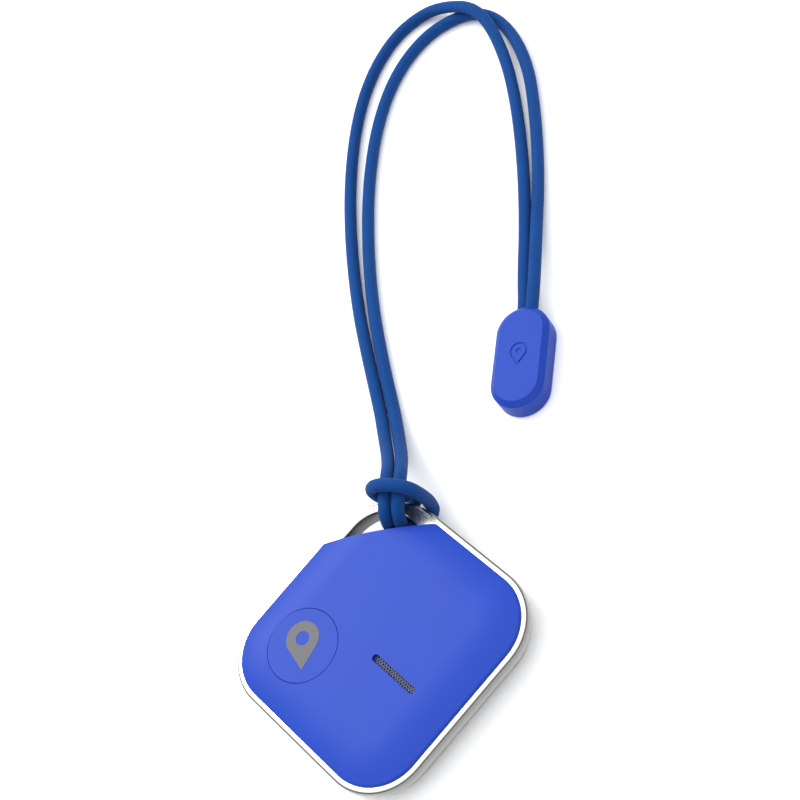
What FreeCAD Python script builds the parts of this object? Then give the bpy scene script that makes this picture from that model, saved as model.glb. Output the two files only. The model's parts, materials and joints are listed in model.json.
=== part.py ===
import FreeCAD, Part
import math
import os
import Sketcher

# A square Bluetooth tracker tag on its lanyard, lying on its back. Millimetres, +Z out of the front face,
# +Y from the middle of the tag to its lanyard corner. Z = 0 is the flat back.

V = FreeCAD.Vector
UP = V(0, 0, 1)
doc = FreeCAD.newDocument("tracker_tag")

# ---------------------------------------------------------------- driving dimensions
sizes = doc.addObject("Spreadsheet::Sheet", "sizes")
dimensions = {
    # case
    "back_height": 2.4, "frame_height": 3.0, "crown_height": 1.5,
    "frame_half": 19.0, "frame_corner": 9.1, "loop_corner": 12.5, "band_width": 3.0,
    "frame_back_round": 1.35, "frame_front_round": 0.5, "frame_inner_round": 0.45,
    "cover_half": 18.1, "cover_corner": 8.2, "roll_width": 6.2, "roll_edge": 0.5, "cover_cut": 16.3,
    "ceiling_height": 6.1, "lip_half": 15.88, "lip_corner": 6.0, "lip_cut": 16.2, "parting_height": 3.9,
    "room_half": 15.0, "room_corner": 5.1, "room_cut": 15.3,
    "back_half": 17.6, "back_corner": 7.6, "back_cut": 16.1, "back_round": 0.9, "floor_thickness": 0.8,
    # button and its switch
    "button_x": -11.4, "button_radius": 5.74, "button_hole_radius": 5.82,
    "flange_radius": 6.6, "flange_bottom": 5.75, "flange_top": 6.05, "recess_radius": 3.2, "recess_top": 6.15,
    "nub_radius": 1.0, "nub_bottom": 5.91, "print_thickness": 0.03,
    "pin_radius": 2.7, "pin_drop": 4.9, "pin_hole_radius": 1.1, "pin_rise": 1.1,
    "switch_side": 4.0, "switch_height": 0.3, "stem_radius": 0.8, "stem_bore_radius": 0.87,
    "stem_bottom": 5.63, "stem_top": 5.9,
    # speaker
    "slot_length": 9.1, "slot_width": 1.1, "slot_u": -2.3, "slot_v": -6.95,
    "mesh_bottom": 6.12, "mesh_thickness": 0.25, "mesh_margin": 0.45, "rebate_top": 6.4,
    "mesh_hole_radius": 0.14, "mesh_pitch": 0.5, "mesh_row": 0.36, "mesh_holes": 17,
    "sounder_radius": 7.3, "sounder_ring_inner": 6.3, "plate_thickness": 0.15,
    # board and cell
    "board_half": 14.8, "board_corner": 4.9, "board_cut": 15.1, "board_bottom": 4.75, "board_thickness": 0.6,
    "cell_radius": 10.0, "cell_height": 3.2, "cell_bottom": 1.2, "cell_y": -2.0,
    "cell_cap_radius": 8.8, "cell_shoulder": 0.35, "holder_inner": 10.4, "holder_outer": 11.3, "holder_bottom": 1.7,
    # battery door
    "door_radius": 11.5, "door_hole_radius": 11.58, "door_inner_radius": 10.7, "door_inner_height": 1.0,
    "tab_reach": 12.4, "tab_width": 5.5, "tab_bottom": 0.85, "tab_top": 1.1, "notch_reach": 12.6,
    "notch_width": 6.4, "notch_turn": 40.0, "coin_slot_length": 12.0, "coin_slot_width": 1.8,
    "coin_slot_depth": 0.4, "seal_radius": 11.23, "seal_section": 0.28, "seal_height": 0.42,
    # cord and pull
    "cord_diameter": 2.0, "pull_x": 22.1, "pull_y": 42.9, "pull_turn": -7.0, "pull_length": 17.4,
    "pull_width": 8.7, "pull_height": 4.2, "pull_bevel": 0.83, "pull_wall": 1.1, "cord_side_step": 0.85,
    "cord_low": 1.5, "cord_high": 2.7, "mouth_radius": 1.15, "mark_depth": 0.15, "mark_groove": 0.3,
}
for row, (alias, value) in enumerate(dimensions.items(), start=1):
    sizes.set(f"A{row}", alias)
    sizes.set(f"B{row}", str(value))
    sizes.setAlias(f"B{row}", alias)
doc.recompute()


def val(expression):
    """The number an expression on the sheet gives."""
    result = sizes.evalExpression(str(expression))
    return float(getattr(result, "Value", result))


def bind(obj, prop, expression):
    obj.setExpression(prop, str(expression))


# ---------------------------------------------------------------- sketch helpers
def origin_feature(body, role):
    return next(feature for feature in body.Origin.OriginFeatures if feature.Role == role)


def new_body(label, turn=45.0, x="0", y="0"):
    """A body turned about Z. At 45 degrees its axes run along the square's sides."""
    body = doc.addObject("PartDesign::Body", label)
    body.Label = label
    body.Placement = FreeCAD.Placement(V(val(x), val(y), 0), FreeCAD.Rotation(UP, turn))
    return body


def new_sketch(body, name, height="0", turn=0.0, role="XY_Plane"):
    sketch = body.newObject("Sketcher::SketchObject", name)
    sketch.AttachmentSupport = (origin_feature(body, role), [""])
    sketch.MapMode = "FlatFace"
    sketch.AttachmentOffset = FreeCAD.Placement(V(0, 0, 0), FreeCAD.Rotation(UP, turn))
    bind(sketch, "AttachmentOffset.Base.z", height)
    return sketch


def hold(sketch, kind, *where, size=None):
    """Adds a constraint. One with a size is driven by that expression."""
    if size is None:
        return sketch.addConstraint(Sketcher.Constraint(kind, *where))
    index = sketch.addConstraint(Sketcher.Constraint(kind, *where, val(size)))
    bind(sketch, f"Constraints[{index}]", size)
    return index


def fix_point(sketch, geometry, end, x, y):
    """Holds a point of the sketch at the x and y that two expressions give."""
    for kind, size, axis in (("DistanceX", x, -2), ("DistanceY", y, -1)):
        if abs(val(size)) < 1e-9:
            hold(sketch, "PointOnObject", geometry, end, axis)
        else:
            hold(sketch, kind, -1, 1, geometry, end, size=size)


def polygon(sketch, corners):
    """A closed outline through corners given as pairs of expressions."""
    points = [V(val(x), val(y), 0) for x, y in corners]
    first = None
    for index, point in enumerate(points):
        line = sketch.addGeometry(Part.LineSegment(point, points[(index + 1) % len(points)]))
        first = line if first is None else first
        if index:
            hold(sketch, "Coincident", line - 1, 2, line, 1)
    hold(sketch, "Coincident", first + len(points) - 1, 2, first, 1)
    for index, (x, y) in enumerate(corners):
        fix_point(sketch, first + index, 1, x, y)


def circle(sketch, x, y, radius):
    index = sketch.addGeometry(Part.Circle(V(val(x), val(y), 0), UP, val(radius)))
    fix_point(sketch, index, 3, x, y)
    hold(sketch, "Radius", index, size=radius)


def stadium(sketch, x, y, length, width):
    """A slot shape that runs along the sketch's Y axis."""
    cx, cy = val(x), val(y)
    radius = val(f"({width}) / 2")
    reach = val(f"({length} - ({width})) / 2")
    ends = []
    for sign in (1, -1):
        start, stop = (0.0, math.pi) if sign > 0 else (math.pi, 2 * math.pi)
        arc = Part.ArcOfCircle(Part.Circle(V(cx, cy + sign * reach, 0), UP, radius), start, stop)
        ends.append(sketch.addGeometry(arc))
        fix_point(sketch, ends[-1], 3, x, f"{y} + {sign} * ({length} - ({width})) / 2")
        hold(sketch, "Radius", ends[-1], size=f"({width}) / 2")
    top, bottom = ends
    left = sketch.addGeometry(Part.LineSegment(V(cx - radius, cy + reach, 0), V(cx - radius, cy - reach, 0)))
    right = sketch.addGeometry(Part.LineSegment(V(cx + radius, cy - reach, 0), V(cx + radius, cy + reach, 0)))
    hold(sketch, "Tangent", top, 2, left, 1)
    hold(sketch, "Tangent", left, 2, bottom, 1)
    hold(sketch, "Tangent", bottom, 2, right, 1)
    hold(sketch, "Tangent", right, 2, top, 1)


def rounded_square(sketch, half, corner, last_corner=None, cut=None):
    """A square with round corners about the origin. The corner at +X +Y has its own radius, or is cut off
    by a straight line at the distance cut from the origin."""
    side = val(half)
    radii = [val(corner)] * 3
    names = [corner] * 3
    if cut is None:
        radii.append(val(last_corner or corner))
        names.append(last_corner or corner)
    quarter = math.pi / 2
    signs = [(-1, 1), (-1, -1), (1, -1), (1, 1)]
    arcs = []
    for (sx, sy), radius, start in zip(signs, radii, (quarter, 2 * quarter, 3 * quarter, 0.0)):
        centre = V(sx * (side - radius), sy * (side - radius), 0)
        arcs.append(sketch.addGeometry(Part.ArcOfCircle(Part.Circle(centre, UP, radius), start, start + quarter)))
    shape = [sketch.Geometry[index] for index in arcs]
    for index, name in zip(arcs, names):
        hold(sketch, "Radius", index, size=name)

    def side_between(first, second, direction):
        line = sketch.addGeometry(Part.LineSegment(first, second))
        hold(sketch, direction, line)
        return line

    left = side_between(shape[0].EndPoint, shape[1].StartPoint, "Vertical")
    bottom = side_between(shape[1].EndPoint, shape[2].StartPoint, "Horizontal")
    for line, before, after in ((left, arcs[0], arcs[1]), (bottom, arcs[1], arcs[2])):
        hold(sketch, "Tangent", before, 2, line, 1)
        hold(sketch, "Tangent", line, 2, after, 1)
    hold(sketch, "DistanceX", left, 1, -1, 1, size=half)
    hold(sketch, "DistanceY", bottom, 1, -1, 1, size=half)
    if cut is None:
        right = side_between(shape[2].EndPoint, shape[3].StartPoint, "Vertical")
        top = side_between(shape[3].EndPoint, shape[0].StartPoint, "Horizontal")
        hold(sketch, "Tangent", right, 2, arcs[3], 1)
        hold(sketch, "Tangent", arcs[3], 2, top, 1)
    else:
        reach = f"{cut} * sqrt(2) - {half}"
        right = side_between(shape[2].EndPoint, V(side, val(reach), 0), "Vertical")
        top = side_between(V(val(reach), side, 0), shape[0].StartPoint, "Horizontal")
        slant = sketch.addGeometry(Part.LineSegment(V(side, val(reach), 0), V(val(reach), side, 0)))
        hold(sketch, "Coincident", right, 2, slant, 1)
        hold(sketch, "Coincident", slant, 2, top, 1)
        hold(sketch, "DistanceY", -1, 1, right, 2, size=reach)
        hold(sketch, "DistanceX", -1, 1, top, 1, size=reach)
    hold(sketch, "Tangent", arcs[2], 2, right, 1)
    hold(sketch, "Tangent", top, 2, arcs[0], 1)
    hold(sketch, "DistanceX", -1, 1, right, 1, size=half)
    hold(sketch, "DistanceY", -1, 1, top, 2, size=half)


def map_pin(sketch, radius, drop, rise):
    """A generic place marker: a round head whose two sides meet in a point below it."""
    head, tip, y = val(radius), val(drop), val(rise)
    lean = math.asin(head / tip)
    right = V(head * math.cos(lean), y - head * math.sin(lean), 0)
    left = V(-right.x, right.y, 0)
    point = V(0, y - tip, 0)
    arc = Part.ArcOfCircle(Part.Circle(V(0, y, 0), UP, head), -lean, math.pi + lean)
    arc = sketch.addGeometry(arc)
    fix_point(sketch, arc, 3, "0", rise)
    hold(sketch, "Radius", arc, size=radius)
    sides = [sketch.addGeometry(Part.LineSegment(left, point)), sketch.addGeometry(Part.LineSegment(point, right))]
    hold(sketch, "Tangent", arc, 2, sides[0], 1)
    hold(sketch, "Coincident", sides[0], 2, sides[1], 1)
    hold(sketch, "Tangent", sides[1], 2, arc, 1)
    fix_point(sketch, sides[1], 1, "0", f"{rise} - {drop}")


# ---------------------------------------------------------------- feature helpers
def pad(body, sketch, length, down=False):
    feature = body.newObject("PartDesign::Pad", sketch.Name + "_pad")
    feature.Profile = sketch
    feature.Reversed = down
    bind(feature, "Length", length)
    doc.recompute()
    return feature


def pocket(body, sketch, depth=None, up=False):
    """Cuts down from the sketch, or up. With no depth it cuts through everything."""
    before = body.Shape.Volume
    feature = body.newObject("PartDesign::Pocket", sketch.Name + "_cut")
    feature.Profile = sketch
    feature.Reversed = up
    if depth is None:
        feature.Type = "ThroughAll"
    else:
        bind(feature, "Length", depth)
    doc.recompute()
    if body.Shape.Volume > before - 1e-4:
        raise RuntimeError(f"{body.Label}: {feature.Name} cuts nothing")
    return feature


def rim_edges(shape, height, inner=False):
    """Names of the edges round the widest flat face at a height: its outside, or its holes."""
    flats = [f for f in shape.Faces if f.BoundBox.ZLength < 1e-3 and abs(f.BoundBox.ZMax - height) < 1e-3]
    face = max(flats, key=lambda f: f.BoundBox.DiagonalLength)
    outer = face.OuterWire
    rim = [e for w in face.Wires if w.isSame(outer) != inner for e in w.Edges]
    return [f"Edge{i}" for i, e in enumerate(shape.Edges, start=1) if any(e.isSame(r) for r in rim)]


def soften(body, height, size, inner=False, kind="Fillet"):
    base = body.Tip
    feature = body.newObject(f"PartDesign::{kind}", f"{body.Name}_{kind.lower()}")
    feature.Base = (base, rim_edges(base.Shape, val(height), inner))
    bind(feature, "Radius" if kind == "Fillet" else "Size", size)
    doc.recompute()
    return feature


def around(body, feature, count):
    """Repeats a feature round the body's own Z axis."""
    pattern = body.newObject("PartDesign::PolarPattern", feature.Name + "_ring")
    pattern.Originals = [feature]
    pattern.Axis = (origin_feature(body, "Z_Axis"), [""])
    pattern.Angle = 360
    pattern.Occurrences = count
    body.Tip = pattern
    doc.recompute()
    return pattern


def box(name, length, width, height, x, y, z, turn=0.0):
    """A block centred on x and y that stands on z."""
    block = doc.addObject("Part::Box", name)
    bind(block, "Length", length)
    bind(block, "Width", width)
    bind(block, "Height", height)
    spin = FreeCAD.Rotation(UP, turn)
    middle = spin.multVec(V(val(length) / 2, val(width) / 2, 0))
    block.Placement = FreeCAD.Placement(V(val(x) - middle.x, val(y) - middle.y, val(z)), spin)
    return block


def cylinder(name, radius, height, x, y, z):
    drum = doc.addObject("Part::Cylinder", name)
    bind(drum, "Radius", radius)
    bind(drum, "Height", height)
    for axis, place in zip("xyz", (x, y, z)):
        bind(drum, f"Placement.Base.{axis}", place)
    return drum


def boolean(kind, label, first, others):
    """Part::Cut or Part::Fuse of one object with others, one after another."""
    result = first
    for index, other in enumerate(others):
        step = doc.addObject(f"Part::{kind}", f"{label}_{kind.lower()}_{index}")
        step.Base = result
        step.Tool = other
        result = step
    result.Label = label
    return result


def group(label, members):
    compound = doc.addObject("Part::Compound", label)
    compound.Label = label
    compound.Links = members
    return compound


def labelled(obj, label):
    obj.Label = label
    return obj


frame_top = "sizes.back_height + sizes.frame_height"
front_top = "sizes.back_height + sizes.frame_height + sizes.crown_height"


# ---------------------------------------------------------------- case
def make_loop_frame():
    """Polished metal band round the case. Its corner at +Y stands clear of the covers as the lanyard loop."""
    body = new_body("loop_frame")
    outline = new_sketch(body, "frame_outline", "sizes.back_height")
    rounded_square(outline, "sizes.frame_half", "sizes.frame_corner", "sizes.loop_corner")
    pad(body, outline, "sizes.frame_height")
    inside = new_sketch(body, "frame_inside", frame_top)
    rounded_square(inside, "sizes.frame_half - sizes.band_width", "sizes.frame_corner - sizes.band_width")
    pocket(body, inside)
    soften(body, "sizes.back_height", "sizes.frame_back_round")
    soften(body, frame_top, "sizes.frame_front_round")
    soften(body, "sizes.back_height", "sizes.frame_inner_round", inner=True)
    soften(body, frame_top, "sizes.frame_inner_round", inner=True)
    return body


def cut_lip(body, name, height, depth, down):
    """The lip that stands inside the band, on either cover."""
    lip = new_sketch(body, name, height)
    rounded_square(lip, "sizes.lip_half", "sizes.lip_corner", cut="sizes.lip_cut")
    rounded_square(lip, "sizes.room_half", "sizes.room_corner", cut="sizes.room_cut")
    pad(body, lip, depth, down)


def make_front_cover():
    """Crowned soft-touch cover with one corner cut off, a round hole for the button and the speaker slot."""
    body = new_body("front_cover")
    outline = new_sketch(body, "cover_outline", frame_top)
    rounded_square(outline, "sizes.cover_half", "sizes.cover_corner")
    pad(body, outline, "sizes.crown_height")

    # the edge rolls off in two arcs that meet smoothly
    path = new_sketch(body, "roll_path", frame_top)
    rounded_square(path, "sizes.cover_half", "sizes.cover_corner")
    roll = new_sketch(body, "roll_section", "sizes.cover_corner - sizes.cover_half", role="YZ_Plane")
    edge, width, rise = val("sizes.roll_edge"), val("sizes.roll_width"), val("sizes.crown_height")
    side, base, top = val("sizes.cover_half"), val(frame_top), val(front_top)
    flat = (width ** 2 - 2 * width * edge + rise ** 2) / (2 * (rise - edge))
    meet = math.atan2(flat - rise, width - edge)
    joint = V(side - edge + edge * math.cos(meet), base + edge * math.sin(meet), 0)
    small = roll.addGeometry(Part.ArcOfCircle(Part.Circle(V(side - edge, base, 0), UP, edge), 0, meet))
    large_circle = Part.Circle(V(side - width, top - flat, 0), UP, flat)
    large = roll.addGeometry(Part.ArcOfCircle(large_circle, meet, math.pi / 2))
    hold(roll, "Tangent", small, 2, large, 1)
    hold(roll, "Radius", small, size="sizes.roll_edge")
    fix_point(roll, small, 3, "sizes.cover_half - sizes.roll_edge", frame_top)
    hold(roll, "Horizontal", small, 1, small, 3)
    fix_point(roll, large, 2, "sizes.cover_half - sizes.roll_width", front_top)
    hold(roll, "Vertical", large, 2, large, 3)
    above = V(side - width, top + 1, 0)
    outside = V(side + 1, top + 1, 0)
    foot = V(side + 1, base, 0)
    start, end = V(side, base, 0), V(side - width, top, 0)
    lines = [roll.addGeometry(Part.LineSegment(a, b)) for a, b in
             ((end, above), (above, outside), (outside, foot), (foot, start))]
    hold(roll, "Coincident", large, 2, lines[0], 1)
    hold(roll, "Coincident", lines[3], 2, small, 1)
    for first, second in zip(lines, lines[1:]):
        hold(roll, "Coincident", first, 2, second, 1)
    hold(roll, "Vertical", lines[0])
    hold(roll, "Horizontal", lines[1])
    hold(roll, "Vertical", lines[2])
    hold(roll, "Horizontal", lines[3])
    fix_point(roll, lines[1], 2, "sizes.cover_half + 1", f"{front_top} + 1")
    doc.recompute()
    before = body.Shape.Volume
    sweep = body.newObject("PartDesign::SubtractivePipe", "edge_roll")
    sweep.Profile = roll
    sweep.Spine = (path, [])
    doc.recompute()
    if body.Shape.Volume > before - 1:
        raise RuntimeError("front_cover: the edge roll cuts nothing")

    room = new_sketch(body, "cover_room", frame_top)
    rounded_square(room, "sizes.room_half", "sizes.room_corner", cut="sizes.room_cut")
    pocket(body, room, f"sizes.ceiling_height - ({frame_top})", up=True)
    corner = new_sketch(body, "corner_cut", f"{front_top} + 1", turn=-45.0)
    far = "2 * sizes.cover_half"
    polygon(corner, [(f"-({far})", "sizes.cover_cut"), (far, "sizes.cover_cut"), (far, far), (f"-({far})", far)])
    pocket(body, corner)
    cut_lip(body, "front_lip", frame_top, f"{frame_top} - sizes.parting_height", True)
    hole = new_sketch(body, "button_hole", f"{front_top} + 1", turn=-45.0)
    circle(hole, "sizes.button_x", "0", "sizes.button_hole_radius")
    pocket(body, hole)
    slot = new_sketch(body, "speaker_slot", f"{front_top} + 1")
    stadium(slot, "sizes.slot_u", "sizes.slot_v", "sizes.slot_length", "sizes.slot_width")
    pocket(body, slot)
    rebate = new_sketch(body, "mesh_rebate", "sizes.ceiling_height")
    stadium(rebate, "sizes.slot_u", "sizes.slot_v", "sizes.slot_length + 3 * sizes.mesh_margin",
            "sizes.slot_width + 3 * sizes.mesh_margin")
    pocket(body, rebate, "sizes.rebate_top - sizes.ceiling_height", up=True)
    return body


def make_back_cover():
    """Shallow tray with a twist-in battery door, posts for the board and a lip inside the band."""
    body = new_body("back_cover")
    outline = new_sketch(body, "back_outline")
    rounded_square(outline, "sizes.back_half", "sizes.back_corner", cut="sizes.back_cut")
    pad(body, outline, "sizes.back_height")
    soften(body, "0", "sizes.back_round")
    room = new_sketch(body, "back_room", "sizes.back_height")
    rounded_square(room, "sizes.room_half", "sizes.room_corner", cut="sizes.room_cut")
    pocket(body, room, "sizes.back_height - sizes.floor_thickness")
    cut_lip(body, "back_lip", "sizes.back_height", "sizes.parting_height - sizes.back_height", False)
    opening = new_sketch(body, "door_opening", "sizes.floor_thickness", turn=-45.0)
    circle(opening, "0", "sizes.cell_y", "sizes.door_hole_radius")
    pocket(body, opening)
    for index in range(3):
        notch = new_sketch(body, f"door_notch_{index}", "sizes.floor_thickness", turn=-45.0)
        angle = f"(sizes.notch_turn * -1 + 90 + {120 * index})"
        corners = []
        for out, across in (("sizes.door_radius - 1", -1), ("sizes.notch_reach", -1),
                            ("sizes.notch_reach", 1), ("sizes.door_radius - 1", 1)):
            half = f"{across} * sizes.notch_width / 2"
            corners.append((f"cos({angle}) * ({out}) - sin({angle}) * ({half})",
                            f"sizes.cell_y + sin({angle}) * ({out}) + cos({angle}) * ({half})"))
        polygon(notch, corners)
        pocket(body, notch)
    posts = new_sketch(body, "board_posts", "sizes.floor_thickness")
    pegs = new_sketch(body, "board_pegs", "sizes.board_bottom")
    for u, v in POSTS:
        circle(posts, u, v, "1.1")
        circle(pegs, u, v, "0.5")
    pad(body, posts, "sizes.board_bottom - sizes.floor_thickness")
    pad(body, pegs, "0.4")
    return body


POSTS = (("12.6", "-12.6"), ("-12.8", "-10.4"), ("-10.4", "12.6"))


def make_battery_door():
    """Coin-slotted disc with three bayonet tabs and a groove for its seal."""
    body = new_body("battery_door", turn=0.0, y="sizes.cell_y")
    disc = new_sketch(body, "door_disc")
    circle(disc, "0", "0", "sizes.door_radius")
    pad(body, disc, "sizes.floor_thickness")
    raised = new_sketch(body, "door_inner_disc", "sizes.floor_thickness")
    circle(raised, "0", "0", "sizes.door_inner_radius")
    pad(body, raised, "sizes.door_inner_height - sizes.floor_thickness")
    tab = new_sketch(body, "door_tab", "sizes.tab_bottom")
    inner, half = "sizes.door_inner_radius - 1.5", "sizes.tab_width / 2"
    polygon(tab, [(f"-({half})", inner), (half, inner), (half, "sizes.tab_reach - 0.3"),
                  (f"-({half})", "sizes.tab_reach - 0.3")])
    first = pad(body, tab, "sizes.tab_top - sizes.tab_bottom")
    around(body, first, 3)
    groove = new_sketch(body, "seal_groove_section", "0", role="XZ_Plane")
    low = "sizes.seal_height - sizes.seal_section - 0.02"
    high = "sizes.seal_height + sizes.seal_section + 0.02"
    inside = "sizes.seal_radius - sizes.seal_section"
    polygon(groove, [(inside, low), ("sizes.door_radius + 1", low), ("sizes.door_radius + 1", high), (inside, high)])
    ring = body.newObject("PartDesign::Groove", "seal_groove")
    ring.Profile = groove
    ring.ReferenceAxis = (origin_feature(body, "Z_Axis"), [""])
    ring.Angle = 360
    doc.recompute()
    coin = new_sketch(body, "coin_slot", turn=90.0)
    stadium(coin, "0", "0", "sizes.coin_slot_length", "sizes.coin_slot_width")
    pocket(body, coin, "sizes.coin_slot_depth", up=True)
    return body


def make_door_seal():
    ring = doc.addObject("Part::Torus", "door_seal")
    bind(ring, "Radius1", "sizes.seal_radius")
    bind(ring, "Radius2", "sizes.seal_section")
    bind(ring, "Placement.Base.y", "sizes.cell_y")
    bind(ring, "Placement.Base.z", "sizes.seal_height")
    return labelled(ring, "door_seal")


# ---------------------------------------------------------------- button and switch
def make_button_cap():
    """Round button flush with the crown. A flange under the cover holds it in, a nub presses the switch."""
    body = new_body("button_cap", turn=0.0, x="sizes.button_x")
    section = new_sketch(body, "button_section", "0", role="XZ_Plane")
    polygon(section, [("0", "sizes.nub_bottom"), ("sizes.nub_radius", "sizes.nub_bottom"),
                      ("sizes.nub_radius", "sizes.recess_top"), ("sizes.recess_radius", "sizes.recess_top"),
                      ("sizes.recess_radius", "sizes.flange_bottom"), ("sizes.flange_radius", "sizes.flange_bottom"),
                      ("sizes.flange_radius", "sizes.flange_top"), ("sizes.button_radius", "sizes.flange_top"),
                      ("sizes.button_radius", front_top), ("0", front_top)])
    turned = body.newObject("PartDesign::Revolution", "button_turned")
    turned.Profile = section
    turned.ReferenceAxis = (origin_feature(body, "Z_Axis"), [""])
    turned.Angle = 360
    doc.recompute()
    return body


def make_button_print():
    """Ink of the place marker on the button."""
    body = new_body("button_print", turn=0.0, x="sizes.button_x")
    mark = new_sketch(body, "marker_print", front_top)
    map_pin(mark, "sizes.pin_radius", "sizes.pin_drop", "sizes.pin_rise")
    circle(mark, "0", "sizes.pin_rise", "sizes.pin_hole_radius")
    pad(body, mark, "sizes.print_thickness")
    return body


def make_button_gasket():
    outer = cylinder("gasket_outer", "sizes.flange_radius", "0.1", "sizes.button_x", "0", board_top)
    inner = cylinder("gasket_inner", "sizes.flange_radius - 1.2", "0.1", "sizes.button_x", "0", board_top)
    return boolean("Cut", "button_gasket", outer, [inner])


board_top = "sizes.board_bottom + sizes.board_thickness"


def make_switch_body():
    case = box("switch_case", "sizes.switch_side", "sizes.switch_side", "sizes.switch_height",
               "sizes.button_x", "0", board_top)
    bore = cylinder("switch_bore", "sizes.stem_bore_radius", "sizes.switch_height", "sizes.button_x", "0",
                    f"{board_top} + 0.02")
    return boolean("Cut", "switch_body", case, [bore])


def make_switch_stem():
    stem = cylinder("switch_stem", "sizes.stem_radius", "sizes.stem_top - sizes.stem_bottom",
                    "sizes.button_x", "0", "sizes.stem_bottom")
    return labelled(stem, "switch_stem")


# ---------------------------------------------------------------- speaker
def make_speaker_mesh():
    """Perforated strip behind the slot: three rows of fine holes, the middle row half a pitch on."""
    body = new_body("speaker_mesh")
    strip = new_sketch(body, "mesh_strip", "sizes.mesh_bottom")
    stadium(strip, "sizes.slot_u", "sizes.slot_v", "sizes.slot_length + 2 * sizes.mesh_margin",
            "sizes.slot_width + 2 * sizes.mesh_margin")
    pad(body, strip, "sizes.mesh_thickness")
    holes = new_sketch(body, "mesh_holes", "sizes.mesh_bottom + sizes.mesh_thickness")
    start = "sizes.slot_v - (sizes.mesh_holes - 1) * sizes.mesh_pitch / 2"
    for row in (-1, 0, 1):
        shift = 0.25 if row == 0 else -0.25
        circle(holes, f"sizes.slot_u + {row} * sizes.mesh_row", f"{start} + {shift} * sizes.mesh_pitch",
               "sizes.mesh_hole_radius")
    first = pocket(body, holes)
    pattern = body.newObject("PartDesign::LinearPattern", "mesh_rows")
    pattern.Originals = [first]
    pattern.Direction = (origin_feature(body, "Y_Axis"), [""])
    bind(pattern, "Length", "(sizes.mesh_holes - 1) * sizes.mesh_pitch")
    bind(pattern, "Occurrences", "sizes.mesh_holes")
    body.Tip = pattern
    doc.recompute()
    return body


def make_sounder():
    """Piezo sounder under the slot: foam ring on the board, brass plate, ceramic disc."""
    half_root = math.sqrt(0.5)
    x = f"{half_root} * (sizes.slot_u - sizes.slot_v)"
    y = f"{half_root} * (sizes.slot_u + sizes.slot_v)"
    outer = cylinder("foam_outer", "sizes.sounder_radius", "sizes.plate_thickness", x, y, board_top)
    inner = cylinder("foam_inner", "sizes.sounder_ring_inner", "sizes.plate_thickness", x, y, board_top)
    foam = boolean("Cut", "sounder_foam_ring", outer, [inner])
    plate = cylinder("sounder_plate", "sizes.sounder_radius", "sizes.plate_thickness", x, y,
                     f"{board_top} + sizes.plate_thickness")
    disc = cylinder("sounder_ceramic", "sizes.sounder_radius * 0.7", "sizes.plate_thickness", x, y,
                    f"{board_top} + 2 * sizes.plate_thickness")
    return [foam, labelled(plate, "sounder_plate"), labelled(disc, "sounder_ceramic")]


# ---------------------------------------------------------------- board and cell
def make_circuit_board():
    body = new_body("circuit_board")
    outline = new_sketch(body, "board_outline", "sizes.board_bottom")
    rounded_square(outline, "sizes.board_half", "sizes.board_corner", cut="sizes.board_cut")
    pad(body, outline, "sizes.board_thickness")
    holes = new_sketch(body, "peg_holes", board_top)
    for u, v in POSTS:
        circle(holes, u, v, "0.6")
    pocket(body, holes)
    return body


def make_chips():
    """Parts soldered under the board, beside the cell."""
    under = "sizes.board_bottom"
    chip = box("radio_chip", "4", "4", "0.8", "14.6", "-2.2", f"{under} - 0.8", turn=45.0)
    crystal = box("crystal", "2", "1.6", "0.45", "8.66", "-10.66", f"{under} - 0.45", turn=45.0)
    antenna = box("chip_antenna", "4", "1.6", "1.0", "2.2", "-15.6", f"{under} - 1.0")
    small = []
    for side, x, y in ((1, 13.4, 3.6), (1, 11.6, 5.4), (1, 16.2, 1.9), (-1, 13.6, 3.2), (-1, 15.4, -1.2),
                       (-1, 14.0, -3.6), (-1, 8.2, -11.4), (1, 6.2, -13.6), (-1, 5.6, -14.8), (1, 7.4, -12.2)):
        index = len(small)
        small.append(box(f"passive_{index}", "1.0", "0.5", "0.4", side * x, y, f"{under} - 0.4", turn=45.0 * side))
    return [labelled(chip, "radio_chip"), labelled(crystal, "crystal"), labelled(antenna, "chip_antenna"),
            group("chip_passives", small)]


def make_coin_cell():
    body = new_body("coin_cell", turn=0.0, y="sizes.cell_y")
    section = new_sketch(body, "cell_section", "0", role="XZ_Plane")
    top = "sizes.cell_bottom + sizes.cell_height"
    polygon(section, [("0", "sizes.cell_bottom"), ("sizes.cell_radius", "sizes.cell_bottom"),
                      ("sizes.cell_radius", f"{top} - sizes.cell_shoulder"),
                      ("sizes.cell_cap_radius", f"{top} - sizes.cell_shoulder"),
                      ("sizes.cell_cap_radius", top), ("0", top)])
    turned = body.newObject("PartDesign::Revolution", "cell_turned")
    turned.Profile = section
    turned.ReferenceAxis = (origin_feature(body, "Z_Axis"), [""])
    turned.Angle = 360
    doc.recompute()
    return body


def make_cell_holder():
    """Plastic ring under the board round the cell, open at its two side contacts."""
    rise = "sizes.board_bottom - sizes.holder_bottom"
    place = ("0", "sizes.cell_y", "sizes.holder_bottom")
    outer = cylinder("holder_outer", "sizes.holder_outer", rise, *place)
    inner = cylinder("holder_inner", "sizes.holder_inner", rise, *place)
    gap = box("holder_gap", "30", "4", rise, *place)
    return boolean("Cut", "cell_holder", outer, [inner, gap])


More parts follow.
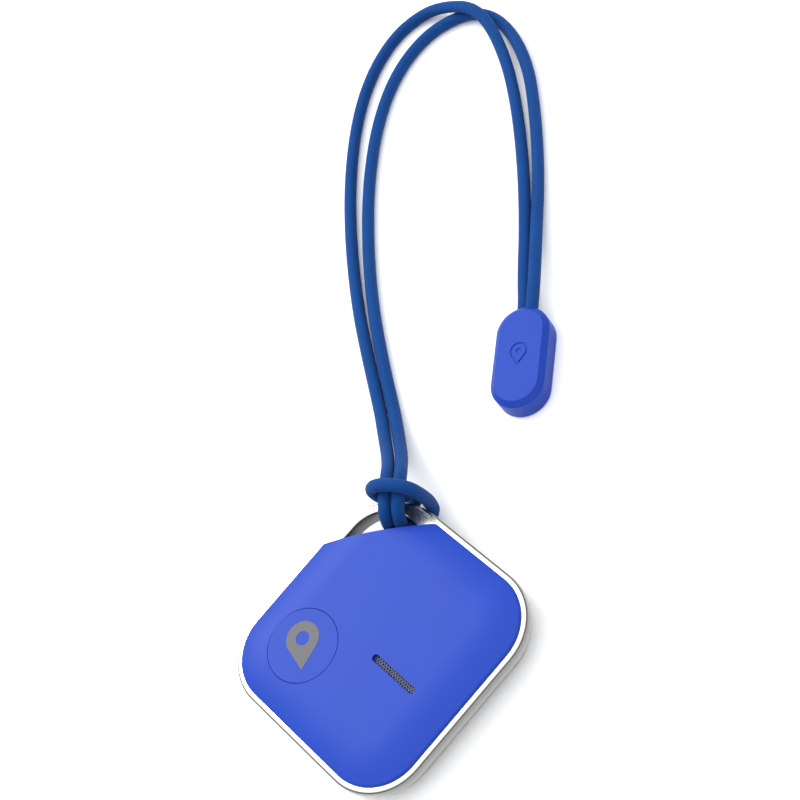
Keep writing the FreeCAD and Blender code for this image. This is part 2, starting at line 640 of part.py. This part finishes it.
def make_contacts():
    clips = []
    for side in (1, -1):
        name = "right" if side > 0 else "left"
        blade = box(f"{name}_blade", "0.25", "3", "2.75", f"{side} * (sizes.cell_radius + 0.15)", "sizes.cell_y",
                    "sizes.board_bottom - 2.75")
        foot = box(f"{name}_foot", "1.6", "3", "0.2", f"{side} * (sizes.cell_radius + 0.8)", "sizes.cell_y",
                   "sizes.board_bottom - 0.2")
        clips.append(boolean("Fuse", f"{name}_clip", blade, [foot]))
    top = "sizes.cell_bottom + sizes.cell_height"
    plate = cylinder("spring_plate", "3", "0.15", "0", "sizes.cell_y", "sizes.board_bottom - 0.15")
    finger = doc.addObject("Part::Cone", "spring_finger")
    finger.Radius1 = 1.0
    finger.Radius2 = 2.4
    bind(finger, "Height", f"sizes.board_bottom - 0.15 - ({top}) - 0.01")
    bind(finger, "Placement.Base.y", "sizes.cell_y")
    bind(finger, "Placement.Base.z", f"{top} + 0.01")
    return [group("positive_contacts", clips), boolean("Fuse", "negative_contact", plate, [finger])]


# ---------------------------------------------------------------- cord and pull
# The cord's route: out of the pull, over the top, down to the loop, round its bar and itself, and back.
CORD_ROUTE = [
    (21.6, 46.3, 1.5), (22.3, 52.3, 1.5), (22.1, 58.5, 1.05), (22.6, 68.5, 1.05), (22.5, 80.4, 1.05),
    (21.6, 92.6, 1.05), (20.0, 102.6, 1.4), (17.7, 110.0, 3.2), (14.7, 114.0, 3.9), (8.9, 117.1, 2.4),
    (4.1, 117.9, 1.05), (-0.9, 114.7, 1.05), (-5.2, 108.0, 1.05), (-7.9, 98.6, 1.05), (-8.9, 86.3, 1.05),
    (-8.4, 73.3, 1.05), (-6.7, 59.6, 1.05), (-4.2, 48.0, 1.05), (-2.3, 39.8, 1.05), (-1.0, 34.6, 2.2),
    # down to the loop, over its bar and into the hole
    (1.0, 28.3, 5.4), (1.8, 23.2, 9.0), (1.95, 17.5, 9.2), (0.9, 18.2, 1.05),
    # under the bar, up outside it and back across it below the two strands
    (4.2, 21.0, 1.05), (6.6, 22.0, 2.6), (6.7, 21.9, 5.3), (4.9, 20.5, 6.8), (0.9, 21.3, 6.8),
    # round the outside of the strands and over them
    (-0.65, 21.7, 9.0), (0.9, 21.5, 11.3), (4.6, 20.9, 11.4), (6.9, 20.3, 10.2), (8.4, 20.2, 7.3),
    # down outside the bar, under it, and up through the hole
    (8.8, 20.6, 4.0), (8.3, 20.0, 1.05), (2.9, 17.45, 1.05), (4.2, 17.4, 9.2), (4.0, 23.0, 9.0),
    # back up beside the first strand
    (3.3, 28.2, 5.4), (1.5, 33.6, 2.2), (0.1, 39.3, 1.05), (-1.8, 47.5, 1.05), (-4.0, 59.0, 1.05),
    (-5.2, 71.4, 1.05), (-5.4, 83.9, 1.05), (-4.1, 95.8, 1.05), (-1.1, 105.3, 1.05), (3.7, 111.8, 1.05),
    (9.2, 114.9, 1.05), (15.3, 115.0, 1.05), (20.3, 110.0, 1.05), (23.7, 100.9, 1.05), (24.8, 90.3, 1.05),
    (25.1, 77.7, 1.05), (24.7, 66.0, 1.9), (24.5, 58.3, 2.5), (24.0, 52.1, 2.7), (23.3, 46.2, 2.7),
]
ARC_SHARE = 0.45  # how much of its shorter run each bend takes


def cord_path(points):
    """Straight runs joined by tangent arcs, each as large as its two runs allow."""
    edges, radii = [], []
    last = points[0]
    for before, corner, after in zip(points, points[1:], points[2:]):
        back, on = before - corner, after - corner
        half_turn = (math.pi - back.getAngle(on)) / 2
        reach = ARC_SHARE * min(back.Length, on.Length)
        radius = reach / math.tan(half_turn)
        back.normalize()
        on.normalize()
        start, end = corner + back * reach, corner + on * reach
        towards = (back + on).normalize()
        middle = corner + towards * (radius / math.cos(half_turn) - radius)
        edges.append(Part.LineSegment(last, start).toShape())
        edges.append(Part.Arc(start, middle, end).toShape())
        radii.append(radius)
        last = end
    edges.append(Part.LineSegment(last, points[-1]).toShape())
    return Part.Wire(edges), radii


def make_cord():
    radius = val("sizes.cord_diameter") / 2
    path, radii = cord_path([V(*point) for point in CORD_ROUTE])
    print("cord bend radii:", " ".join(f"{r:.1f}" for r in radii))
    direction = V(*CORD_ROUTE[1]) - V(*CORD_ROUTE[0])
    section = Part.Wire([Part.Circle(V(*CORD_ROUTE[0]), direction, radius).toShape()])
    solid = path.makePipeShell([section], True, False)
    ratio = solid.Volume / (math.pi * radius ** 2 * path.Length)
    print(f"cord length {path.Length:.1f} mm, volume over section times length {ratio:.4f}")
    cord = doc.addObject("Part::Feature", "lanyard_cord")
    cord.Shape = solid
    return labelled(cord, "lanyard_cord")


def pull_blank(label, bottom, top_is_front):
    """Half of the pull: a long rounded block, hollow inside. The front half has a bevel all round."""
    body = new_body(label, turn=val("sizes.pull_turn"), x="sizes.pull_x", y="sizes.pull_y")
    outline = new_sketch(body, f"{label}_outline", bottom)
    stadium(outline, "0", "0", "sizes.pull_length", "sizes.pull_width")
    pad(body, outline, "sizes.pull_height / 2")
    seam = "sizes.pull_height / 2"
    room = new_sketch(body, f"{label}_room", seam)
    stadium(room, "0", "0", "sizes.pull_length - 5 * sizes.pull_wall", "sizes.pull_width - 3 * sizes.pull_wall")
    pocket(body, room, "sizes.pull_height / 2 - sizes.pull_wall", up=top_is_front)
    if top_is_front:
        soften(body, "sizes.pull_height", "sizes.pull_bevel", kind="Chamfer")
        mark = new_sketch(body, "pull_mark", "sizes.pull_height")
        map_pin(mark, "sizes.pin_radius / 1.9", "sizes.pin_drop / 1.9", "0.7")
        map_pin(mark, "sizes.pin_radius / 1.9 - sizes.mark_groove",
                "(sizes.pin_radius / 1.9 - sizes.mark_groove) * sizes.pin_drop / sizes.pin_radius", "0.7")
        circle(mark, "0", "0.7", "0.45")
        pocket(body, mark, "sizes.mark_depth")
    else:
        soften(body, "0", "sizes.pull_bevel / 2")
    return body


def make_pull():
    """Two shells of the pull and the metal crimp that holds both ends of the cord between them."""
    spin = FreeCAD.Rotation(UP, val("sizes.pull_turn"))
    middle = V(val("sizes.pull_x"), val("sizes.pull_y"), 0)

    def mouth(label, side, height):
        start = middle + spin.multVec(V(side * val("sizes.cord_side_step"), 0, val(height)))
        bore = doc.addObject("Part::Cylinder", label)
        bind(bore, "Radius", "sizes.mouth_radius")
        bind(bore, "Height", "sizes.pull_length")
        bore.Placement = FreeCAD.Placement(start, spin * FreeCAD.Rotation(V(1, 0, 0), -90))
        return bore

    shells = []
    for label, bottom, front in (("pull_front_shell", "sizes.pull_height / 2", True),
                                 ("pull_back_shell", "0", False)):
        blank = pull_blank(label + "_blank", bottom, front)
        bores = [mouth(f"{label}_low", -1, "sizes.cord_low"), mouth(f"{label}_high", 1, "sizes.cord_high")]
        shells.append(boolean("Cut", label, blank, bores))
    place = middle + spin.multVec(V(0, 1.9, 0))
    crimp = box("cord_crimp", "4.2", "3.6", "1.9", place.x, place.y, "1.15", turn=val("sizes.pull_turn"))
    return shells + [labelled(crimp, "cord_crimp")]


# ---------------------------------------------------------------- build, check and write
parts = [
    make_front_cover(), make_button_cap(), make_button_print(), make_button_gasket(), make_switch_body(),
    make_switch_stem(), make_speaker_mesh(), *make_sounder(), make_loop_frame(), make_back_cover(),
    make_battery_door(), make_door_seal(), make_circuit_board(), *make_chips(), make_coin_cell(),
    make_cell_holder(), *make_contacts(), make_cord(), *make_pull(),
]
doc.recompute()
for obj in doc.Objects:
    if {"Invalid", "Error"} & set(obj.State):
        raise RuntimeError(f"{obj.Label} failed: {obj.State}")
os.makedirs("parts", exist_ok=True)
for part in parts:
    if part.Shape.isNull() or not part.Shape.isValid():
        raise RuntimeError(f"{part.Label} has no valid shape")
    part.Shape.exportStep(f"parts/{part.Label}.step")
    print(f"{part.Label}: {len(part.Shape.Solids)} solid(s), {part.Shape.Volume:.1f} mm3")
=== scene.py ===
import json
import math
import bmesh
import bpy
from mathutils import Matrix, Quaternion, Vector


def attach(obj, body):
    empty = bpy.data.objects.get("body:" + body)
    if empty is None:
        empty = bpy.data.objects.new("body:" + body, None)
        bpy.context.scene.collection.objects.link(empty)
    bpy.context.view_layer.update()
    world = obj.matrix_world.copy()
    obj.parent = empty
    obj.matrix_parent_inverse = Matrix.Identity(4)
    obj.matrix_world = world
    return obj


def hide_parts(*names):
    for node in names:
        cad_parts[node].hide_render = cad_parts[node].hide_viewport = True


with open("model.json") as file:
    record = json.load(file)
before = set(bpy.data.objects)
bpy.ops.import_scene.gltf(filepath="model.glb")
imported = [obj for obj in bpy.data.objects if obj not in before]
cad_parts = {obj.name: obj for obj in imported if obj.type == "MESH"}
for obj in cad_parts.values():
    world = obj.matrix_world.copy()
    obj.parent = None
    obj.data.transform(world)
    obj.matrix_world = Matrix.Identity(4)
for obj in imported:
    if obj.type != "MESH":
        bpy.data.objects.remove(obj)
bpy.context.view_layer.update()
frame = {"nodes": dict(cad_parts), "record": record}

mm = 0.001
scene = bpy.context.scene
print("frame loaded:", len(frame["nodes"]), "nodes")


# A wire is one output of a shader node. Sums on wires add Math nodes.
class Wire:
    def __init__(self, paint, socket):
        self.paint = paint
        self.socket = socket

    def math(self, operation, first, second):
        return self.paint.node("ShaderNodeMath", {"operation": operation}, [first, second])

    def __add__(self, other):
        return self.math("ADD", self, other)

    def __radd__(self, other):
        return self.math("ADD", other, self)

    def __sub__(self, other):
        return self.math("SUBTRACT", self, other)

    def __rsub__(self, other):
        return self.math("SUBTRACT", other, self)

    def __mul__(self, other):
        return self.math("MULTIPLY", self, other)

    def __rmul__(self, other):
        return self.math("MULTIPLY", other, self)

    def __truediv__(self, other):
        return self.math("DIVIDE", self, other)

    def __gt__(self, other):
        return self.math("GREATER_THAN", self, other)

    def __abs__(self):
        return self.math("ABSOLUTE", self, 0)


# One material and its nodes. Fixed numbers go straight on the Principled shader.
class Paint:
    def __init__(self, name, **fixed):
        self.material = bpy.data.materials.new(name)
        self.material.use_nodes = True
        self.tree = self.material.node_tree
        self.shader = self.tree.nodes["Principled BSDF"]
        for socket, value in fixed.items():
            self.shader.inputs[socket.replace("_", " ")].default_value = value

    def node(self, kind, settings=None, inputs=(), output=0):
        made = self.tree.nodes.new(kind)
        for name, value in (settings or {}).items():
            if name == "stops":
                self.setStops(made.color_ramp, value)
            else:
                setattr(made, name, value)
        pairs = inputs.items() if isinstance(inputs, dict) else enumerate(inputs)
        for key, value in pairs:
            if isinstance(value, Wire):
                self.tree.links.new(value.socket, made.inputs[key])
            else:
                made.inputs[key].default_value = value
        return Wire(self, made.outputs[output])

    def setStops(self, ramp, stops):
        while len(ramp.elements) < len(stops):
            ramp.elements.new(1.0)
        for element, (place, color) in zip(ramp.elements, stops):
            element.position = place
            element.color = color

    def feed(self, **wires):
        for socket, wire in wires.items():
            self.tree.links.new(wire.socket, self.shader.inputs[socket.replace("_", " ")])

    def place(self, turn=0.0):
        where = self.node("ShaderNodeTexCoord", output="Object")
        inputs = {"Vector": where, "Rotation": (0, 0, math.radians(turn))}
        return self.node("ShaderNodeMapping", {"vector_type": "TEXTURE"}, inputs)

    def axes(self, vector):
        split = self.node("ShaderNodeSeparateXYZ", None, [vector])
        return split, Wire(self, split.socket.node.outputs[1]), Wire(self, split.socket.node.outputs[2])

    def noise(self, vector, grain, detail=2.0, stretch=None):
        if stretch:
            vector = self.node("ShaderNodeVectorMath", {"operation": "MULTIPLY"}, [vector, stretch])
        inputs = {"Vector": vector, "Scale": 1 / (grain * mm), "Detail": detail}
        return self.node("ShaderNodeTexNoise", None, inputs)

    def blend(self, factor, first, second):
        wires = {"Factor": factor, "A": first, "B": second}
        made = self.tree.nodes.new("ShaderNodeMix")
        made.data_type = "RGBA"
        for key, value in wires.items():
            fits = [s for s in made.inputs if s.name == key and s.type in ("RGBA", "VALUE") and s.enabled]
            socket = fits[0]
            if isinstance(value, Wire):
                self.tree.links.new(value.socket, socket)
            else:
                socket.default_value = value
        return Wire(self, next(s for s in made.outputs if s.enabled and s.type == "RGBA"))

    def bump(self, height, depth, edge=None):
        inputs = {"Height": height, "Distance": depth * mm, "Strength": 1.0}  # depth and edge are in mm
        if edge:
            inputs["Normal"] = self.node("ShaderNodeBevel", {"samples": 4}, {"Radius": edge * mm})
        return self.node("ShaderNodeBump", None, inputs)


def shade(color, amount):
    return tuple(min(1.0, channel * amount) for channel in color[:3]) + (1.0,)


finishes = {
    "coverBlue": (0.004, 0.040, 0.36, 1), "pullBlue": (0.004, 0.040, 0.34, 1),
    "backGrey": (0.36, 0.36, 0.35, 1),
    "printGrey": (0.10, 0.102, 0.108, 1), "meshBlue": (0.012, 0.022, 0.10, 1),
    "frameSilver": (0.46, 0.455, 0.43, 1),
    "cordLight": (0.003, 0.074, 0.31, 1), "cordDark": (0.0015, 0.028, 0.13, 1),
    "maskGreen": (0.008, 0.09, 0.03, 1), "trackGreen": (0.02, 0.2, 0.07, 1),
    "black": (0.02, 0.02, 0.022, 1), "holderBlack": (0.03, 0.03, 0.034, 1),
    "nickel": (0.66, 0.65, 0.62, 1), "brass": (0.75, 0.56, 0.24, 1), "ceramic": (0.8, 0.79, 0.75, 1),
}


touch = {
    "specular": 0.26, "cloud": 9, "dark": 0.93, "light": 1.06, "fine": 0.08, "coarse": 0.04, "edge": 0.09,
}


def softTouch(name, color, roughness=0.46, grain=0.09, depth=0.004):
    paint = Paint(name, Specular_IOR_Level=touch["specular"])
    where = paint.place()
    fine = paint.noise(where, grain, 3)
    cloud = paint.noise(where, touch["cloud"], 2)
    paint.feed(Base_Color=paint.blend(cloud, shade(color, touch["dark"]), shade(color, touch["light"])))
    paint.feed(Roughness=roughness - 0.05 + touch["fine"] * fine + touch["coarse"] * cloud)
    paint.feed(Normal=paint.bump(fine, depth, edge=touch["edge"]))
    return paint.material


# The band is polished flat on top. Its colour is painted by height: a painted highlight along the top edge,
# painted shade just under it, lighter again towards its foot.
band = {
    "foot": 2.4, "height": 3.0, "roughness": 0.24, "stretch": (1, 1, 14), "grain": 0.8, "wear": 5,
    "depth": 0.0012, "edge": 0.08, "paintedShadeAndHighlight": [(0.1, 0.95), (0.5, 0.9), (0.97, 0.45), (0.99, 1.6)],
}


def satinMetal(name, color):
    paint = Paint(name, Metallic=1.0, Specular_IOR_Level=0.5)
    where = paint.place()
    brushed = paint.noise(where, band["grain"], 4, band["stretch"])
    wear = paint.noise(where, band["wear"], 3)
    height = (paint.axes(where)[2] - band["foot"] * mm) / (band["height"] * mm)
    # Base colour ramps with height: painted highlight on the top edge, painted shade under it, lighter
    # towards the foot.
    stops = [(place, shade(color, amount)) for place, amount in band["paintedShadeAndHighlight"]]
    paint.feed(Base_Color=paint.node("ShaderNodeValToRGB", {"stops": stops}, [height]))
    paint.feed(Roughness=band["roughness"] - 0.04 + 0.06 * brushed + 0.05 * wear)
    paint.feed(Normal=paint.bump(brushed, band["depth"], edge=band["edge"]))
    return paint.material


weave = {"strands": 14, "threads": 5, "depth": 0.05, "threadDepth": 0.35, "fuzz": 0.12, "cloud": 6}


# A braid on the tube's own map: u once round, v along it in rounds of the same size.
def wovenCord(name):
    paint = Paint(name, Specular_IOR_Level=0.12, Sheen_Weight=0.03, Sheen_Roughness=0.5)
    u, v, _ = paint.axes(paint.node("ShaderNodeUVMap", {"uv_map": "weave"}))
    rising = weave["strands"] * (u + v)
    falling = weave["strands"] * (u - v)

    def fraction(value):
        return paint.node("ShaderNodeMath", {"operation": "FRACT"}, [value])

    def floored(value):
        return paint.node("ShaderNodeMath", {"operation": "FLOOR"}, [value])

    def wave(value):
        return abs(paint.node("ShaderNodeMath", {"operation": "SINE"}, [value * math.pi]))

    over = wave(rising) * wave(falling)
    parity = fraction(0.5 * (floored(rising) + floored(falling))) > 0.25
    threads = wave(weave["threads"] * rising) * parity + wave(weave["threads"] * falling) * (1 - parity)
    fuzz = paint.noise(paint.place(), weave["fuzz"], 3)
    cloud = paint.noise(paint.place(), weave["cloud"], 2)
    height = over + weave["threadDepth"] * threads + 0.3 * fuzz
    # The tone follows the weave's height: painted shade in the grooves between strands and threads, with a
    # random cloud of tone on top.
    tone = 0.45 * over + 0.25 * threads + 0.3 * cloud
    paint.feed(Base_Color=paint.blend(tone, finishes["cordDark"], finishes["cordLight"]))
    paint.feed(Roughness=0.62 + 0.12 * fuzz)
    paint.feed(Normal=paint.bump(height, weave["depth"]))
    return paint.material


def plainFinish(name, color, metallic=0.0, roughness=0.5, grain=0.3, contrast=0.08, stretch=None):
    paint = Paint(name, Metallic=metallic)
    grains = paint.noise(paint.place(), grain, 3, stretch)
    paint.feed(Base_Color=paint.blend(grains, shade(color, 1 - contrast), shade(color, 1 + contrast)))
    paint.feed(Roughness=roughness - 0.05 + 0.1 * grains)
    paint.feed(Normal=paint.bump(grains, 0.003, edge=0.04))
    return paint.material


tracks = {"turn": 45, "width": 0.25, "block": 3.2, "depth": 0.01}


# Green mask with a faint pattern of tracks under it, in line with the case's sides.
def circuitMask(name):
    paint = Paint(name, Coat_Weight=0.3, Coat_Roughness=0.2)
    where = paint.place(turn=tracks["turn"])
    x = paint.axes(where)[0]
    stripes = abs(paint.node("ShaderNodeMath", {"operation": "SINE"}, [x / (tracks["width"] * mm)]))
    inputs = {"Vector": where, "Scale": 1 / (tracks["block"] * mm)}
    blocks = paint.node("ShaderNodeTexVoronoi", {"distance": "CHEBYCHEV"}, inputs)
    lines = (stripes > 0.55) * (blocks > 0.3)
    paint.feed(Base_Color=paint.blend(lines, finishes["maskGreen"], finishes["trackGreen"]))
    paint.feed(Roughness=0.35 + 0.1 * paint.noise(paint.place(), 0.5))
    paint.feed(Normal=paint.bump(lines, tracks["depth"]))
    return paint.material


steelGrain = (1, 9, 1)
materials = {
    "cover": softTouch("coverSoftTouch", finishes["coverBlue"]),
    "back": softTouch("backPlastic", finishes["backGrey"], roughness=0.5, grain=0.14, depth=0.008),
    "pull": softTouch("pullPlastic", finishes["pullBlue"], roughness=0.5, grain=0.2, depth=0.003),
    "print": plainFinish("greyInk", finishes["printGrey"], roughness=0.6, grain=0.08, contrast=0.15),
    "mesh": plainFinish("speakerMesh", finishes["meshBlue"], roughness=0.45, grain=0.2),
    "frame": satinMetal("frameSilver", finishes["frameSilver"]),
    "cord": wovenCord("wovenCord"),
    "rubber": plainFinish("blackRubber", finishes["black"], roughness=0.75),
    "board": circuitMask("circuitMask"),
    "chip": plainFinish("chipMoulding", finishes["black"], roughness=0.4, grain=0.1),
    "steel": plainFinish("nickelSteel", finishes["nickel"], metallic=1.0, roughness=0.28, stretch=steelGrain),
    "brass": plainFinish("brassPlate", finishes["brass"], metallic=1.0, roughness=0.32),
    "ceramic": plainFinish("silveredCeramic", finishes["ceramic"], roughness=0.4),
    "holder": plainFinish("holderPlastic", finishes["holderBlack"], roughness=0.5, grain=0.15),
}
print("materials made:", len(materials))

camera = {
    "place": (108.974, -102.385, 235.4), "target": (1.932, 40.036, 3.0), "roll": -42.65,
    "lens": 84.93, "sensor": 36.0,
}


def lookAt(place, target, roll=0.0):
    aim = (Vector(target) - Vector(place)).to_track_quat("-Z", "Y")
    turn = (aim @ Quaternion((0, 0, 1), math.radians(roll))).to_matrix().to_4x4()
    return Matrix.Translation(Vector(place) * mm) @ turn


def makeCamera():
    data = bpy.data.cameras.new("camera")
    data.lens = camera["lens"]
    data.sensor_width = camera["sensor"]
    data.clip_start = 0.01
    made = bpy.data.objects.new("camera", data)
    made.matrix_world = lookAt(camera["place"], camera["target"], camera["roll"])
    scene.collection.objects.link(made)
    scene.camera = made


makeCamera()

# The cord leaves the pull, lies over to the loop, is hitched round its bar and comes back.
cord = {
    "diameter": 2.05, "sides": 5, "smooth": 10, "length": 424,
    "route": [
        (21.6, 46.3, 1.5), (22.3, 52.3, 1.5), (22.1, 58.5, 1.05), (22.6, 68.5, 1.05), (22.5, 80.4, 1.05),
        (21.6, 92.6, 1.05), (20.0, 102.6, 1.4), (17.7, 110.0, 3.2), (14.7, 114.0, 3.9), (8.9, 117.1, 2.4),
        (4.1, 117.9, 1.05), (-0.9, 114.7, 1.05), (-5.2, 108.0, 1.05), (-7.9, 98.6, 1.05), (-8.9, 86.3, 1.05),
        (-8.4, 73.3, 1.05), (-6.7, 59.6, 1.05), (-4.2, 48.0, 1.05), (-2.3, 39.8, 1.05), (-1.0, 34.6, 2.2),
        (1.3, 28.3, 5.4), (2.65, 23.4, 9.0), (2.35, 17.5, 9.3), (0.6, 18.0, 1.05), (3.0, 21.9, 1.05),
        (4.8, 23.1, 2.2), (5.1, 22.9, 4.9), (4.6, 21.0, 7.0), (1.7, 21.2, 6.5), (0.15, 21.8, 9.0),
        (1.7, 21.4, 11.5), (4.6, 20.9, 11.6), (7.0, 20.4, 10.6), (7.8, 20.4, 7.6), (7.6, 20.9, 4.4),
        (7.2, 20.5, 1.05), (2.5, 17.4, 1.05), (4.45, 17.4, 9.3), (4.9, 23.2, 9.0), (3.5, 28.2, 5.4),
        (1.5, 33.6, 2.2), (0.1, 39.3, 1.05), (-1.8, 47.5, 1.05), (-4.0, 59.0, 1.05), (-5.2, 71.4, 1.05),
        (-5.4, 83.9, 1.05), (-4.1, 95.8, 1.05), (-1.1, 105.3, 1.05), (3.7, 111.8, 1.05), (9.2, 114.9, 1.05),
        (15.3, 115.0, 1.05), (20.3, 110.0, 1.05), (23.7, 100.9, 1.05), (24.8, 90.3, 1.05), (25.1, 77.7, 1.05),
        (24.7, 66.0, 1.9), (24.5, 58.3, 2.5), (24.0, 52.1, 2.7), (23.3, 46.2, 2.7),
    ],
}


def makeCurve(name, points, radius=0.0, sides=0, smooth=8):
    curve = bpy.data.curves.new(name, "CURVE")
    curve.dimensions = "3D"
    spline = curve.splines.new("NURBS")
    spline.points.add(len(points) - 1)
    for point, place in zip(spline.points, points):
        point.co = (*(Vector(place) * mm), 1)
    spline.order_u = 3
    spline.use_endpoint_u = True
    spline.resolution_u = smooth
    curve.bevel_depth = radius * mm
    curve.bevel_resolution = sides
    curve.use_fill_caps = radius > 0
    return bpy.data.objects.new(name, curve)


def makeCord():
    bare = makeCurve("cordLine", cord["route"], smooth=cord["smooth"])
    line = bpy.data.meshes.new_from_object(bare)
    path = [vertex.co.copy() for vertex in line.vertices]
    bpy.data.objects.remove(bare)
    along = [0.0]
    for before, after in zip(path, path[1:]):
        along.append(along[-1] + (after - before).length)

    thick = makeCurve("cordTube", cord["route"], cord["diameter"] / 2, cord["sides"], cord["smooth"])
    mesh = bpy.data.meshes.new_from_object(thick)
    bpy.data.objects.remove(thick)
    mesh.name = "lanyardCord"
    for layer in list(mesh.uv_layers):
        mesh.uv_layers.remove(layer)
    around = len(mesh.vertices) // len(path)
    girth = math.pi * cord["diameter"] * mm
    weaveMap = mesh.uv_layers.new(name="weave")
    for face in mesh.polygons:
        slots = [mesh.loops[loop].vertex_index % around for loop in face.loop_indices]
        wraps = max(slots) - min(slots) > around / 2
        for loop, slot in zip(face.loop_indices, slots):
            ring = min(mesh.loops[loop].vertex_index // around, len(path) - 1)
            u = (slot + around * (wraps and slot < around / 2)) / around
            weaveMap.data[loop].uv = (u, along[ring] / girth)
        face.use_smooth = True
    mesh.materials.clear()
    mesh.materials.append(materials["cord"])
    piece = bpy.data.objects.new("lanyardCord", mesh)
    scene.collection.objects.link(piece)
    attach(piece, "case")
    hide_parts("lanyard_cord")
    print("cord length", round(along[-1] * 1000, 1), "mm, sides", around)


makeCord()

slots = {part["node"]: part["material_slot"] for part in frame["record"]["subparts"]}
for name, piece in frame["nodes"].items():
    piece.data.materials.clear()
    piece.data.materials.append(materials[slots[name]])
print("nodes painted:", len(slots))

studio = {
    "key": {"place": (-350, 300, 400), "target": (0, 40, 0), "size": 360, "power": 2.2},
    "floorSize": 4000, "floorDrop": 0.02, "floorColor": (0.97, 0.97, 0.97, 1), "skyPower": 1.9,
    "sky": [(0.0, (0.1, 0.1, 0.1, 1)), (0.42, (0.2, 0.2, 0.21, 1)), (0.72, (0.96, 0.98, 1.0, 1))],
}


def makeFloor():
    paint = Paint("paleFloor", Specular_IOR_Level=0.2)
    speck = paint.noise(paint.place(), 2, 2)
    color = studio["floorColor"]
    paint.feed(Base_Color=paint.blend(speck, shade(color, 0.995), shade(color, 1.005)))
    paint.feed(Roughness=0.85 + 0.05 * speck)
    bm = bmesh.new()
    bmesh.ops.create_grid(bm, x_segments=1, y_segments=1, size=studio["floorSize"] * mm / 2)
    bmesh.ops.translate(bm, verts=bm.verts, vec=(0, 0, -studio["floorDrop"] * mm))
    mesh = bpy.data.meshes.new("floor")
    bm.to_mesh(mesh)
    bm.free()
    mesh.materials.append(paint.material)
    floor = bpy.data.objects.new("floor", mesh)
    scene.collection.objects.link(floor)


def makeLight(name, lamp):
    data = bpy.data.lights.new(name, "AREA")
    data.shape = "DISK"
    data.size = lamp["size"] * mm
    data.energy = lamp["power"]
    light = bpy.data.objects.new(name, data)
    light.matrix_world = lookAt(lamp["place"], lamp["target"])
    scene.collection.objects.link(light)


# A dome that is bright overhead and dim near the table.
def makeSky():
    world = bpy.data.worlds.new("studio")
    world.use_nodes = True
    nodes, links = world.node_tree.nodes, world.node_tree.links
    where = nodes.new("ShaderNodeTexCoord")
    split = nodes.new("ShaderNodeSeparateXYZ")
    fade = nodes.new("ShaderNodeValToRGB")
    fade.color_ramp.elements.new(0.5)
    for element, (height, color) in zip(fade.color_ramp.elements, studio["sky"]):
        element.position = height
        element.color = color
    links.new(where.outputs["Generated"], split.inputs[0])
    links.new(split.outputs[2], fade.inputs[0])
    links.new(fade.outputs[0], nodes["Background"].inputs["Color"])
    nodes["Background"].inputs["Strength"].default_value = studio["skyPower"]
    scene.world = world


makeFloor()
makeLight("keyLight", studio["key"])
makeSky()
scene.view_settings.view_transform = "Standard"
print("studio set")
